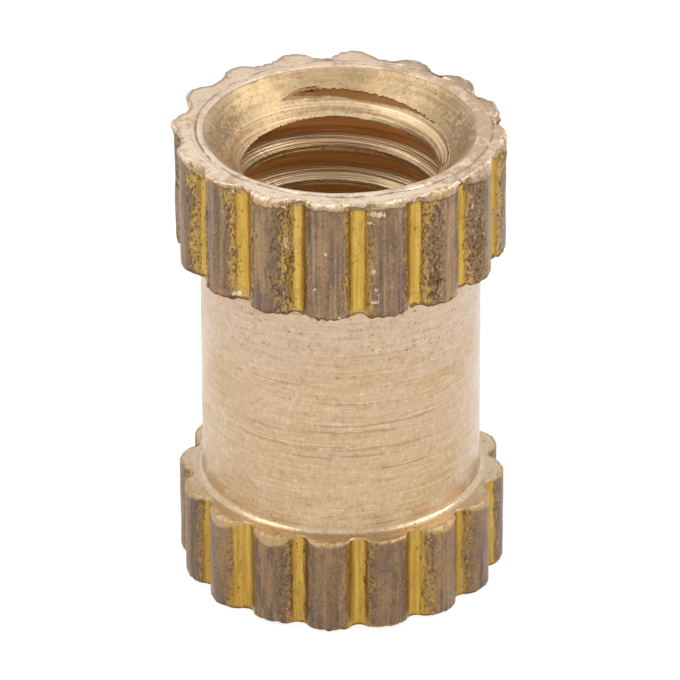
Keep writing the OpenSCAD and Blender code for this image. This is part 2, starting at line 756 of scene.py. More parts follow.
@dataclass
class Bore:
    """The bore: a countersink at each end and a right-hand thread between them.

    In the upper countersink, smeared metal roofs part of the top groove, and a hem of it hangs
    over the next one. From right of the front to the back, what the roof leaves of the groove is
    pressed nearly shut: gaps says how deep it stays, at the turns in gap_turns.

    The offsets are the heights above a crest's middle of the rows of one pitch. The first
    crest_rows of them lie on the crest; roof_row and hem_row go just below the two edges.
    """

    offsets: tuple[float, ...] = (-0.075, -0.05, 0.05, 0.075, 0.18, 0.295, 0.505, 0.58, 0.65)
    roof: Smear = Smear(
        (55, 86, 100, 125, 149, 174, 192, 201, 210, 222),
        (0.45, 0.33, 0.29, 0.31, 0.34, 0.355, 0.32, 0.25, 0.19, 0.12),
        63,
        0.009,
    )
    hem: Smear = Smear(
        (50, 84, 98, 110, 120, 129, 137, 150, 174, 185, 198, 211, 228, 241, 251, 275, 300, 335),
        (
            -0.05, -0.16, -0.2, -0.168, -0.125, -0.108, -0.086, -0.066, -0.06, -0.086,
            -0.123, -0.163, -0.211, -0.26, -0.3, -0.34, -0.3, -0.05,
        ),
        64,
        0.005,
    )
    crest_rows: int = 4
    roof_row: int = 6
    hem_row: int = -1
    flank_h: tuple[float, ...] = (0.05, 0.075, 0.18, 0.295)
    flank_in: tuple[float, ...] = (0.0, 0.03, 0.215)
    hem_r: float = 2.03
    tool_lines: float = 0.0025
    chatter: float = 0.006
    cone_chatter: float = 0.0015
    uncut: float = -0.03
    least_row: float = 0.012
    gap_turns: tuple[float, ...] = (0, 25, 60, 115, 140, 155, 168, 186, 200)
    gaps: tuple[float, ...] = (0.5, 0.2, 0.01, 0.02, 0.03, 0.035, 0.04, 0.05, 0.5)

    @property
    def mouth_h(self) -> float:
        """Height of the countersink up to where it is as wide as the thread's roots."""
        return SIZE.rim_r - SIZE.root_r

    def cone(self, columns: Columns, top: bool) -> Strip:
        """Makes the part of a countersink that the thread doesn't reach: r = rim - depth.

        Args:
            columns: the columns of the mesh.
            top: whether it is the upper countersink.
        Returns:
            The strip, from below upwards.
        """
        steps = np.linspace(self.mouth_h, 0.03, 9 if top else 6)[:, None]
        turn = columns.turn[::2]
        ripple = self.tool_lines * Grain(51, (2, 40), (1, 7)).at(turn, steps)
        radius = SIZE.rim_r - steps + ripple * smooth(0, 0.1, self.mouth_h - steps)
        height = SIZE.length - steps if top else steps
        strip = Strip(radius, turn, height + 0 * turn, Zone.BORE)
        return strip if top else strip.flipped()

    def across(self, climb: np.ndarray) -> np.ndarray:
        """Radius of the thread at a height above its crest's middle, repeating each pitch.

        Narrow flat crests with soft edges, flanks about 30 degrees off square, and flat roots.

        Args:
            climb: heights above the middle of the top crest.
        Returns:
            The radii.
        """
        off = np.abs((climb + SIZE.pitch / 2) % SIZE.pitch - SIZE.pitch / 2)
        sizes = [SIZE.crest_r + depth for depth in self.flank_in] + [SIZE.root_r]
        return np.interp(off, self.flank_h, sizes)

    def thread(self, columns: Columns) -> WoundGrid:
        """Makes the thread as a grid whose rows follow the helix.

        Row heights are z = pitch turn / 360 + offset, so each row lies on one line of the thread,
        and the radius is the larger of the thread's and the countersinks'. Under the smears there
        is only the countersink. The first mark of a point is how far it is cut into the
        countersink.

        Args:
            columns: the columns of the mesh.
        Returns:
            The grid, from its lowest row up.
        """
        turn = columns.turn[::2]
        offsets = np.asarray(self.offsets)
        rise = SIZE.pitch * turn / math.tau
        start = SIZE.crest_h - SIZE.pitch * SIZE.crest_turn / 360
        low, high = self.mouth_h, SIZE.length - self.mouth_h
        first = math.floor((low - start - SIZE.pitch) / SIZE.pitch) - 1
        last = math.ceil((high - start) / SIZE.pitch) + 1
        turns = np.repeat(np.arange(first, last + 1), offsets.size)[:, None]
        step = np.tile(np.arange(offsets.size), last + 1 - first)[:, None]
        index = turns * offsets.size + step  # 0 is the lowest row of the top crest
        climb = turns * SIZE.pitch + offsets[step] + 0 * rise
        climb = self.hem.hug(climb, index, self.hem_row, turn)
        climb = self.roof.hug(climb, index, self.roof_row, turn)
        height = start + climb + rise
        chatter = Grain(61, (10, 120), (0.5, 3)).at(turn, height)
        wall = self.across(climb)
        near_crest = 1 - smooth(SIZE.crest_r, SIZE.crest_r + 0.2, wall)
        wall = wall + self.chatter * chatter * near_crest
        cone = SIZE.rim_r - np.minimum(SIZE.length - height, height) + self.cone_chatter * chatter
        gap = np.interp(np.degrees(turn), self.gap_turns, self.gaps)
        pressed = np.minimum(wall, np.maximum(cone, SIZE.crest_r) + gap)
        in_slot = (index >= self.crest_rows // 2) & (index <= self.roof_row)
        wall = np.where(in_slot, pressed, wall)
        roofed = (self.roof.share(turn) > 0.5) & (index > self.roof_row)
        hemmed = (self.hem.share(turn) > 0.5) & (index > self.hem_row) & (index < self.crest_rows)
        smeared = roofed | hemmed
        cut = np.where(smeared, self.uncut, np.clip(wall - cone, -0.1, 0.1))
        radius = np.where(smeared, np.maximum(cone, self.hem_r), np.maximum(wall, cone))
        x, y = radius * np.sin(turn), -radius * np.cos(turn)
        points = np.stack(np.broadcast_arrays(x, y, height), -1)
        marks = np.stack([cut, 0 * cut, 0 * cut], -1)
        too_low, too_high = height < low + self.least_row, height > high - self.least_row
        return WoundGrid(points, marks, too_low, too_high, offsets.size)


# --------------------------------------------------------------------------- shader helpers


class Val:
    """A number in a node tree. Its operators add Math nodes, also with plain numbers."""

    def __init__(self, sheet: "Sheet", socket: bpy.types.NodeSocket):
        """Wraps an output socket."""
        self.sheet = sheet
        self.socket = socket

    def __add__(self, other: Any) -> "Val":
        """self + other."""
        return self.sheet.maths("ADD", self, other)

    __radd__ = __add__

    def __sub__(self, other: Any) -> "Val":
        """self - other."""
        return self.sheet.maths("SUBTRACT", self, other)

    def __rsub__(self, other: Any) -> "Val":
        """other - self."""
        return self.sheet.maths("SUBTRACT", other, self)

    def __mul__(self, other: Any) -> "Val":
        """self * other."""
        return self.sheet.maths("MULTIPLY", self, other)

    __rmul__ = __mul__

    def __truediv__(self, other: Any) -> "Val":
        """self / other."""
        return self.sheet.maths("DIVIDE", self, other)

    def __neg__(self) -> "Val":
        """-self."""
        return self.sheet.maths("MULTIPLY", self, -1.0)

    def apply(self, operation: str, *others: Any) -> "Val":
        """Any other operation of the Math node, with self first."""
        return self.sheet.maths(operation, self, *others)

    def ease(self, low: float, high: float) -> "Val":
        """0 at low and below, 1 at high and above, eased between; low may be the larger.

        Args:
            low: the value that becomes 0.
            high: the value that becomes 1.
        Returns:
            The eased value.
        """
        sockets = {"Value": self, "From Min": low, "From Max": high}
        node = self.sheet.node("MapRange", sockets, interpolation_type="SMOOTHSTEP")
        return Val(self.sheet, node.outputs["Result"])


class Sheet:
    """The node tree of a material or a world, and the few ways in which the finishes add to it."""

    def __init__(self, owner: bpy.types.Material | bpy.types.World):
        """Empties the owner's tree.

        Args:
            owner: the material or world.
        """
        owner.use_nodes = True
        self.owner = owner
        self.tree = owner.node_tree
        self.tree.nodes.clear()

    def node(self, kind: str, sockets: dict[Any, Any], **settings: Any) -> bpy.types.Node:
        """Adds a node.

        Args:
            kind: the node's type, without the ShaderNode that all their names start with.
            sockets: input names, identifiers or numbers, with values or what is linked there.
            settings: its properties, which are set before its sockets.
        Returns:
            The node.
        """
        node = self.tree.nodes.new("ShaderNode" + kind)
        for name, value in settings.items():
            setattr(node, name, value)
        for key, value in sockets.items():
            if isinstance(key, int):
                socket = node.inputs[key]
            else:
                socket = next(s for s in node.inputs if key in (s.identifier, s.name))
            if isinstance(value, Val):
                value = value.socket
            if isinstance(value, bpy.types.NodeSocket):
                self.tree.links.new(value, socket)
            else:
                socket.default_value = value
        return node

    def maths(self, operation: str, *parts: Any) -> Val:
        """Adds a Math node on numbers and values."""
        node = self.node("Math", dict(enumerate(parts)), operation=operation)
        return Val(self, node.outputs[0])

    def vector(self, operation: str, *parts: Any) -> bpy.types.NodeSocket:
        """Adds a Vector Math node and returns its vector."""
        node = self.node("VectorMath", dict(enumerate(parts)), operation=operation)
        return node.outputs[0]

    def join(self, x: Any, y: Any, z: Any) -> bpy.types.NodeSocket:
        """Makes a vector of three values."""
        return self.node("CombineXYZ", {0: x, 1: y, 2: z}).outputs[0]

    def place(self) -> "Place":
        """Reads the point that is shaded, in millimetres.

        Returns:
            The place.
        """
        source = self.node("TexCoord", {}).outputs["Object"]
        point = self.vector("MULTIPLY", source, (1 / MM,) * 3)
        parts = self.node("SeparateXYZ", {0: point}).outputs
        x, y, z = (Val(self, s) for s in parts)
        return Place(point, x, y, z, (x * x + y * y).apply("SQRT"), x.apply("ARCTAN2", -y))

    def cuts(self) -> tuple[Val, Val, Val]:
        """Reads how far inside a bright floor and a torn side the point is, and the lip's depth.

        Returns:
            The three marks.
        """
        node = self.node("Attribute", {}, attribute_name="cuts")
        parts = self.node("SeparateXYZ", {0: node.outputs["Vector"]}).outputs
        return tuple(Val(self, s) for s in parts)

    def noise(
        self, at: Any, flat: float, tall: float, seed: float = 0, detail: float = 2, rough: float = 0.6
    ) -> Val:
        """Adds cloudy noise.

        Args:
            at: the point in millimetres.
            flat: how many clouds a millimetre holds along x and y.
            tall: how many it holds along z.
            seed: moves the noise, so that two of them differ.
            detail: how many finer layers it has.
            rough: how strong the finer layers are.
        Returns:
            The noise, about even round 0, mostly between -0.25 and 0.25.
        """
        moved = self.vector("MULTIPLY_ADD", at, (flat, flat, tall), (seed, seed * 1.7, -seed))
        sockets = {"Vector": moved, "Scale": 1.0, "Detail": detail, "Roughness": rough}
        return Val(self, self.node("TexNoise", sockets).outputs["Fac"]) - 0.5

    def specks(self, at: Any, flat: float, tall: float, size: float, share: float) -> Val:
        """Adds scattered round specks.

        Args:
            at: the point in millimetres.
            flat: how many cells a millimetre holds along x and y.
            tall: how many it holds along z.
            size: radius of a speck, as a share of its cell.
            share: the share of the cells that hold one.
        Returns:
            1 in the specks and 0 between them.
        """
        cells = self.vector("MULTIPLY", at, (flat, flat, tall))
        node = self.node("TexVoronoi", {"Vector": cells, "Scale": 1.0})
        pick = self.node("SeparateColor", {0: node.outputs["Color"]}).outputs[0]
        chosen = Val(self, pick).ease(1 - share - 0.02, 1 - share + 0.02)
        return Val(self, node.outputs["Distance"]).ease(size, size * 0.45) * chosen

    def spots(
        self, p: "Place", marks: Sequence[Knock], radius: float, ragged: Val, square: bool = False
    ) -> Val:
        """Draws marks at given places on a round wall: 1 - far + ragged.

        Args:
            p: the shaded point.
            marks: where they are, with half their sizes.
            radius: the wall's radius.
            ragged: noise that frays their edges.
            square: whether far is max(|across|, |up|), and not sqrt(across^2 + up^2).
        Returns:
            1 inside them and 0 outside.
        """
        best: Val | None = None
        for mark in marks:
            across = (p.turn - math.radians(mark.turn)) * (radius / mark.wide)
            up = (p.z - mark.height) * (1 / mark.tall)
            if square:
                far = across.apply("ABSOLUTE").apply("MAXIMUM", up.apply("ABSOLUTE"))
            else:
                far = (across * across + up * up).apply("SQRT")
            best = -far if best is None else best.apply("MAXIMUM", -far)
        return (best + 1.0 + ragged).ease(0.0, 0.35)

    def blend(self, share: Any, a: Any, b: Any, how: str = "MIX") -> bpy.types.NodeSocket:
        """Mixes two colours: a where share is 0 and b where it is 1.

        Args:
            share: how much of b there is.
            a, b: the colours.
            how: the way of mixing.
        Returns:
            The mixed colour.
        """
        sockets = {"Factor_Float": share, "A_Color": a, "B_Color": b}
        node = self.node("Mix", sockets, data_type="RGBA", blend_type=how)
        return next(s for s in node.outputs if s.identifier == "Result_Color")

    def layers(self, base: Any, *coats: tuple[Any, Any]) -> Any:
        """Lays colours over a base, one after the other, each given with its share.

        Args:
            base: the colour underneath.
            coats: pairs of a share and a colour.
        Returns:
            The colour that is seen.
        """
        for share, colour in coats:
            base = self.blend(share, base, colour)
        return base

    def seen(self) -> Val:
        """1 for the rays that show a surface to the eye, also in a gloss or through glass.

        Returns:
            1 for them and 0 for all other rays.
        """
        path = self.node("LightPath", {}).outputs
        camera, gloss, through = (
            Val(self, path[name]) for name in ("Is Camera Ray", "Is Glossy Ray", "Is Transmission Ray")
        )
        return camera.apply("MAXIMUM", gloss).apply("MAXIMUM", through)

    def finish(self, colour: Any, rough: Any, height: Val, film: float = 0.0) -> bpy.types.Material:
        """Ends the tree in a metal shader.

        Args:
            colour: its base colour.
            rough: its roughness.
            height: the relief, in millimetres.
            film: weight of the thin clear film, which pales the metal where it is seen edge-on.
        Returns:
            The material.
        """
        relief = self.node("Bump", {"Distance": MM, "Height": height}).outputs[0]
        sockets = {
            "Base Color": colour,
            "Roughness": rough,
            "Metallic": 1.0,
            "Normal": relief,
            "Coat Weight": film,
            "Coat Roughness": 0.4,
        }
        shader = self.node("BsdfPrincipled", sockets)
        self.node("OutputMaterial", {"Surface": shader.outputs[0]})
        return self.owner


def material_sheet(name: str) -> Sheet:
    """Starts a new material."""
    return Sheet(bpy.data.materials.new(name))


@dataclass
class Place:
    """The shaded point: as a vector, its parts, its distance from the axis and its turn."""

    point: bpy.types.NodeSocket
    x: Val
    y: Val
    z: Val
    r: Val
    turn: Val


# --------------------------------------------------------------------------- finishes


@dataclass(frozen=True)
class TurnedFinish:
    """Bright turned brass of the neck and the steps, with the tool's fine rings and scratches."""

    pale: Colour = paint(201, 170, 134)
    rose: Colour = paint(203, 175, 146)
    honey: Colour = paint(196, 164, 114)
    light: Colour = paint(230, 207, 180)
    line: Colour = paint(158, 126, 88)
    pit: Colour = paint(118, 92, 72)
    gilt: Colour = paint(184, 148, 98)
    olive: Colour = paint(202, 178, 144)
    film: float = 0.75
    scratches: tuple[Knock, ...] = knocks(
        (-40, 4.075, 1.0, 0.03), (5, 4.055, 1.3, 0.034), (-14, 4.12, 0.7, 0.026),
        (-26, 4.41, 0.8, 0.026), (4, 4.61, 1.3, 0.026), (0, 4.46, 0.9, 0.03),
        (-18, 3.86, 0.6, 0.022), (5, 3.9, 0.5, 0.022), (19, 3.55, 0.45, 0.024),
        (-1, 5.12, 0.8, 0.02), (-36, 5.52, 0.5, 0.024), (12, 6.25, 0.7, 0.018),
        (112, 4.9, 1.6, 0.026), (168, 3.4, 1.2, 0.024), (-118, 5.6, 1.4, 0.024),
    )

    def make(self) -> bpy.types.Material:
        """Builds the material.

        Rings run at a constant height on the neck and at a constant radius on the steps, so the
        lines follow the sum of both.

        Returns:
            The material.
        """
        s = material_sheet("turned_brass")
        p = s.place()
        ring = s.join(p.x, p.y, p.z + p.r)
        fine = s.noise(ring, 0.45, 22)
        dash = s.noise(ring, 2.6, 15, 3)
        grain = s.noise(ring, 13, 9, 14, rough=0.65)
        broad = s.noise(ring, 0.8, 4.5, 5)
        strands = s.noise(ring, 0.35, 34, 21)
        patch = s.noise(p.point, 0.5, 0.6, 1, rough=0.5)
        cloud = s.noise(p.point, 3, 3.6, 8, detail=3)
        upper = p.z.ease(4.6, 6.6)
        steps = p.r.ease(2.96, 3.02)
        fillet = p.r.ease(2.906, 2.92) * (1 - steps)
        scratch = s.spots(p, self.scratches, SIZE.neck_r, dash * 2.2 + fine * 1.6 + grain, True)
        honey = (patch + broad * 0.35 + cloud * 0.35).ease(-0.02, 0.2) * (1 - upper * 0.6)
        mark = dash * 0.55 + fine * 0.4 + grain * 0.75 + cloud * 0.2
        gilt = (honey * 0.7 + 0.3) * strands.ease(0.02, 0.16) * (1 - upper * 0.5)
        near_ends = upper + p.z.ease(3.2, 2.4) * 0.6 + 0.3
        pits = s.specks(p.point, 5.5, 7, 0.22, 0.36) * near_ends
        small = s.specks(s.vector("ADD", p.point, (5.2, 1.3, 2.2)), 9, 11, 0.28, 0.3) * near_ends
        colour = s.layers(
            self.pale,
            (upper, self.rose),
            (honey * 0.8, self.honey),
            (steps * 0.8 + fillet * 0.6, self.olive),
            (mark.ease(0.0, 0.24) * 0.5, self.line),
            (mark.ease(-0.03, -0.24) * 0.5, self.light),
            (gilt * 0.6, self.gilt),
            (strands.ease(-0.08, -0.2) * 0.4, self.light),
            (scratch * 0.42, self.line),
            (pits * 0.45 + small * 0.3, self.pit),
        )
        height = dash * 0.008 + fine * 0.004 + broad * 0.01 + cloud * 0.008 + grain * 0.004
        height = height - scratch * 0.006 - pits * 0.01 - small * 0.004
        rough = 0.34 + 0.3 * patch + 0.15 * cloud + steps * 0.1 - fillet * 0.12
        return s.finish(colour, rough, height, self.film)


class KnurlNoise:
    """The clouds, flecks and streaks that the colours and the relief of the knurl share."""

    def __init__(self, s: Sheet, point: bpy.types.NodeSocket):
        """Adds them, from the broadest to the finest, and then the upright streaks.

        Args:
            s: the sheet.
            point: the shaded point in millimetres.
        """
        self.broad = s.noise(point, 1.3, 0.8, 2, rough=0.5)
        self.cloud = s.noise(point, 3.4, 1.8, detail=3)
        self.blot = s.noise(point, 8, 6, 4)
        self.fleck = s.noise(point, 16, 11, 11)
        self.grain = s.noise(point, 24, 16, 6, rough=0.65)
        self.streak = s.noise(point, 5, 0.35, 1, rough=0.55)
        self.strand = s.noise(point, 9.5, 0.8, 9)
        self.thin = s.noise(point, 14, 0.6, 7, detail=1, rough=0.5)


@dataclass(frozen=True)
class KnurlFinish:
    """The knurl: bright yellow groove floors, torn sides and a grey-brown skin on the teeth."""

    yellow: Colour = paint(204, 164, 72)
    deep_yellow: Colour = paint(180, 138, 48)
    light_yellow: Colour = paint(218, 186, 98)
    floor_edge_shade: Colour = paint(140, 100, 50)
    torn_dark: Colour = paint(84, 60, 38)
    torn_brown: Colour = paint(142, 114, 84)
    torn_gold: Colour = paint(190, 154, 82)
    torn_light: Colour = paint(222, 194, 148)
    grey: Colour = paint(119, 97, 84)
    tan: Colour = paint(161, 129, 94)
    olive: Colour = paint(146, 124, 84)
    umber: Colour = paint(100, 79, 64)
    cream: Colour = paint(232, 209, 180)
    lip_tan: Colour = paint(194, 162, 126)
    wear_and_shade: Colour = paint(204, 176, 134)
    sand: Colour = paint(182, 146, 104)
    foot_dark: Colour = paint(98, 66, 42)
    shade: Colour = (0.85, 0.83, 0.8, 1.0)
    film: float = 0.3
    skin_r: float = 3.36
    bare: tuple[Knock, ...] = knocks(
        (6.5, 9.7, 0.2, 0.09), (4.5, 9.5, 0.09, 0.05), (-25.2, 9.02, 0.08, 0.18),
        (-47.5, 7.48, 0.12, 0.09), (5.4, 8.4, 0.05, 0.07), (6.2, 8.02, 0.08, 0.05),
        (7.2, 7.84, 0.05, 0.05), (6.2, 7.72, 0.08, 0.05), (-11.5, 8.91, 0.05, 0.05),
        (-14.8, 8.04, 0.05, 0.05), (-47.0, 9.84, 0.06, 0.06), (-26.0, 9.82, 0.05, 0.05),
        (49.2, 9.15, 0.05, 0.1), (-5.2, 7.4, 0.09, 0.05), (151.0, 8.6, 0.09, 0.14),
        (-135.0, 8.1, 0.08, 0.16), (-160.0, 1.2, 0.09, 0.12),
    )
    warm: tuple[Knock, ...] = knocks(
        (-34, 8.6, 0.2, 1.5), (33, 8.6, 0.42, 1.5), (57, 8.6, 0.4, 1.5),
        (35, 1.0, 0.5, 1.4), (-34, 1.0, 0.22, 1.2),
    )
    cool: tuple[Knock, ...] = knocks(
        (-29, 8.9, 0.14, 1.0), (6.5, 8.7, 0.18, 1.2), (-52, 8.8, 0.14, 1.2),
        (-2.5, 8.6, 0.12, 1.0), (18, 0.9, 0.16, 1.0), (-29, 1.0, 0.12, 0.9),
        (-9, 0.8, 0.14, 0.9),
    )

    def _skin(self, s: Sheet, p: Place, n: KnurlNoise, upper: Val) -> Any:
        """Colours the teeth: grey to tan in upright streaks, with warm and cool stretches.

        Args:
            s: the sheet.
            p: the shaded point.
            n: the noise of the knurl.
            upper: 1 on the upper band and 0 on the lower one.
        Returns:
            The colour.
        """
        soft = n.strand * 2.0 + n.cloud * 2.0
        return s.layers(
            self.grey,
            ((n.streak * 0.7 + n.cloud * 0.5 + n.blot * 0.25).ease(-0.2, 0.2), self.tan),
            ((n.strand * 0.7 + n.cloud * 0.8).ease(0.0, 0.24) * 0.55, self.olive),
            ((n.strand * 0.5 + n.blot * 0.7).ease(-0.04, -0.22) * 0.5, self.umber),
            (s.spots(p, self.warm, self.skin_r, soft) * 0.5, self.sand),
            (s.spots(p, self.cool, self.skin_r, soft) * 0.4, self.umber),
            (n.thin.ease(0.03, 0.18) * (0.18 + 0.1 * upper), self.torn_dark),
            (n.thin.ease(-0.03, -0.18) * (0.08 + 0.1 * upper), self.torn_light),
            (n.grain.ease(0.03, 0.2) * 0.35, self.torn_dark),
            (n.grain.ease(-0.05, -0.2) * 0.2, self.torn_light),
        )

    def _torn(self, s: Sheet, n: KnurlNoise, shine: Val) -> Any:
        """Colours the torn sides: brown, golden near the floor, with dark crumbs and light crumbs,
        which are partly painted glints.

        Args:
            s: the sheet.
            n: the noise of the knurl.
            shine: how far inside a bright floor the point is.
        Returns:
            The colour.
        """
        gold = (n.broad * 1.2 + n.blot * 0.9 + (shine + 0.2) * 1.5).ease(-0.1, 0.14)
        return s.layers(
            self.torn_brown,
            (gold, self.torn_gold),
            ((n.fleck + n.grain * 0.5 - shine * 0.14).ease(0.05, 0.13) * 0.8, self.torn_dark),
            # partly painted highlights: the light crumbs stand in for glints on the torn metal
            ((n.fleck + n.grain * 0.6).ease(-0.13, -0.22) * 0.7, self.torn_light),
        )

    def _bright(self, s: Sheet, n: KnurlNoise, shine: Val) -> Any:
        """Colours the groove floors: yellow, partly painted interreflection, with draw lines and
        painted shade along their edges.

        Args:
            s: the sheet.
            n: the noise of the knurl.
            shine: how far inside a bright floor the point is.
        Returns:
            The colour.
        """
        return s.layers(
            # painted reflection: the floors are bare brass, and their strong yellow is partly painted
            # interreflection inside the groove
            self.yellow,
            (n.thin.ease(-0.02, 0.14) * 0.6, self.deep_yellow),
            (n.thin.ease(-0.04, -0.16) * 0.5, self.light_yellow),
            ((n.cloud + n.blot).ease(0.06, 0.24) * 0.35, self.olive),
            # painted shade: dark band where the floor meets the groove wall
            ((shine + n.cloud * 0.08).ease(0.05, 0.0) * 0.45, self.floor_edge_shade),
            ((n.fleck - shine * 0.3).ease(0.08, 0.16) * 0.6, self.torn_dark),
        )

    def _lip(self, s: Sheet, n: KnurlNoise, depth: Val) -> Any:
        """Colours the lip over the upper teeth: cream, and darker where depth nears 1, as painted shade
        where its rolled edge turns down.

        Args:
            s: the sheet.
            n: the noise of the knurl.
            depth: 0 at the top of the lip and 1 at its lower edge.
        Returns:
            The colour.
        """
        return s.layers(
            self.cream,
            # painted shade: tan towards the lip's lower edge, where it rolls over
            ((depth + n.cloud * 1.6 + n.blot).ease(0.1, 0.8), self.lip_tan),
            ((n.blot + n.fleck * 0.6).ease(0.03, 0.18) * 0.6, self.torn_brown),
            ((n.broad + n.blot * 0.6).ease(0.05, 0.2) * 0.5, self.torn_gold),
            ((n.broad + n.cloud).ease(-0.02, -0.2) * 0.5, self.torn_brown),
        )

    def make(self) -> bpy.types.Material:
        """Builds the material from the marks of the grooves, the height and noise.

        Returns:
            The material.
        """
        s = material_sheet("knurled_brass")
        p = s.place()
        n = KnurlNoise(s, p.point)
        shine, tear, lip = s.cuts()
        upper = p.z.ease(4.9, 5.0)
        down = (SIZE.length - p.z) * upper + (SIZE.shelf - p.z) * (1 - upper)
        up = (p.z - SIZE.shoulder) * upper + p.z * (1 - upper)
        frayed = down + n.blot * 0.1 + n.cloud * 0.1 + n.fleck * 0.04
        past_lip = frayed - lip
        lipped = past_lip.ease(0.02, -0.02) * upper
        spread = up.ease(0.5, 0.04) * (n.broad + 0.1).ease(0.0, 0.2) * (1 - upper) * 0.15
        edge = shine + n.cloud * (0.32 - 0.15 * upper) + n.blot * 0.17 + n.fleck * 0.08 + spread
        floor = edge.ease(-0.01, 0.02) * (1 - lipped)
        # painted shade: the band just outside the floor's edge, where the groove wall shadows it
        rim = edge.ease(-0.07, -0.01) * (1 - floor)
        reach = tear + n.cloud * (0.45 * upper + 0.2) + n.blot * 0.5 + n.fleck * 0.25
        side = reach.ease(-0.1, 0.12) * (1 - floor)
        # painted highlights: glints are cream specks on the teeth and torn sides, joined to the bare
        # nicks' mask
        glints = s.specks(s.vector("ADD", p.point, (3.1, 0.7, 9.2)), 6, 5, 0.2, 0.1)
        bare = s.spots(p, self.bare, self.skin_r, n.blot * 3.0 + n.fleck * 2.4).apply(
            "MAXIMUM", glints * (1 - floor) * 0.5
        )
        bald = past_lip.ease(0.03, -0.03) * (1 - upper)
        wear_and_shade = s.blend((n.blot + n.fleck).ease(-0.05, 0.2) * 0.6, self.wear_and_shade, self.torn_gold)
        # painted shade: dark band just under the lip's lower edge
        under_lip = past_lip.ease(-0.01, 0.02) * past_lip.ease(0.08, 0.03) * upper
        gilt = (up + n.blot * 0.3 + n.fleck * 0.2).ease(0.16, 0.06)
        # darker along each band's lower edge
        foot = (up + n.fleck * 0.14 + n.blot * 0.14 - upper * 0.01).ease(0.07, 0.02)
        colour = s.layers(
            self._skin(s, p, n, upper),
            (side * (0.66 + 0.3 * upper), self._torn(s, n, shine)),
            (rim * 0.5, self.floor_edge_shade),
            (floor, self._bright(s, n, shine)),
            (bare * (0.55 + n.fleck * 2.5), self.cream),
            (lipped, self._lip(s, n, ((frayed + 0.03) / (lip + 0.02)).ease(0.2, 0.95))),
            (bald * 0.9, wear_and_shade),
            (under_lip * (1 - bare) * (0.3 + n.cloud), self.torn_dark),
            (gilt * (n.cloud + n.blot).ease(0.0, 0.12) * 0.6, self.torn_gold),
            (foot * 0.8, self.foot_dark),
        )
        colour = s.blend(1 - upper, colour, self.shade, "MULTIPLY")
        height = side * (n.fleck * 0.04 + n.blot * 0.04) + n.cloud * 0.012 + n.grain * 0.008
        height = height + n.strand * 0.01 * (1 - floor) + bare * 0.02 + n.thin * 0.003
        height = height + lipped * (n.blot * 0.02 + n.cloud * 0.04 + n.fleck * 0.01)
        return s.finish(colour, 0.46 - 0.12 * floor - 0.08 * lipped, height, self.film)


@dataclass(frozen=True)
class EndFinish:
    """The end faces: pale, lightly smeared brass, darker in the sunk line and towards the back."""

    pale: Colour = paint(238, 216, 192)
    tan: Colour = paint(192, 160, 127)
    dark: Colour = paint(116, 91, 72)
    edge: Colour = paint(146, 126, 110)

    def make(self) -> bpy.types.Material:
        """Builds the material. The dark line follows the same off-axis circle as the sunk line.

        Returns:
            The material.
        """
        s = material_sheet("faced_brass")
        p = s.place()
        inside, _, _ = s.cuts()
        fine = s.noise(s.join(p.x * 0.5, p.y * 0.5, p.r), 1, 20)
        cloud = s.noise(p.point, 1.8, 1.8, detail=3)
        blot = s.noise(p.point, 6, 6, 3, detail=3)
        grit = s.noise(p.point, 16, 16, 7)
        wobble = s.noise(p.point, 2.5, 2.5, 5, detail=1, rough=0.5)
        shift = (p.x * SIZE.line_off[0] + p.y * SIZE.line_off[1]) / p.r
        line = SIZE.line_r + shift + wobble * 0.03
        # painted shade: the face turns tan, and its line fades, towards +x, the right
        wear_and_shade = (p.x + cloud * 4).ease(0.6, 3.2)
        groove = (p.r - line).apply("ABSOLUTE").ease(0.04, 0.006)
        groove = groove * (cloud + blot * 0.4).ease(-0.2, 0.04) * (1 - wear_and_shade * 0.3)
        behind = p.y.ease(-0.5, 1.5)
        # painted shade: dark patch on the back right, near the wall
        shade_patch = (inside + blot * 0.15).ease(0.26, 0.1) * behind * p.x.ease(0.3, 1.6)
        pits = s.specks(p.point, 3.6, 3.6, 0.13, 0.35)
        colour = s.layers(
            self.pale,
            ((cloud + blot * 0.7 + wear_and_shade * 0.25).ease(0.0, 0.26) * 0.8, self.tan),
            (fine.ease(0.04, 0.22) * 0.4, self.tan),
            ((grit + blot * 0.4).ease(0.1, 0.22) * 0.4, self.dark),
            (groove * 0.7, self.dark),
            # painted shade: tan towards the back
            (behind * 0.3, self.tan),
            # painted reflection: dark band along the wall, strongest at the back, where the edge
            # reflects darker surroundings
            ((inside + blot * 0.06).ease(0.1, 0.015) * (behind * 0.6 + 0.12), self.edge),
            (shade_patch * 0.45, self.edge),
            (pits * 0.6, self.dark),
        )
        height = fine * 0.005 + cloud * 0.016 + blot * 0.014 + grit * 0.004 - pits * 0.01
        return s.finish(colour, 0.36 + 0.3 * cloud, height)


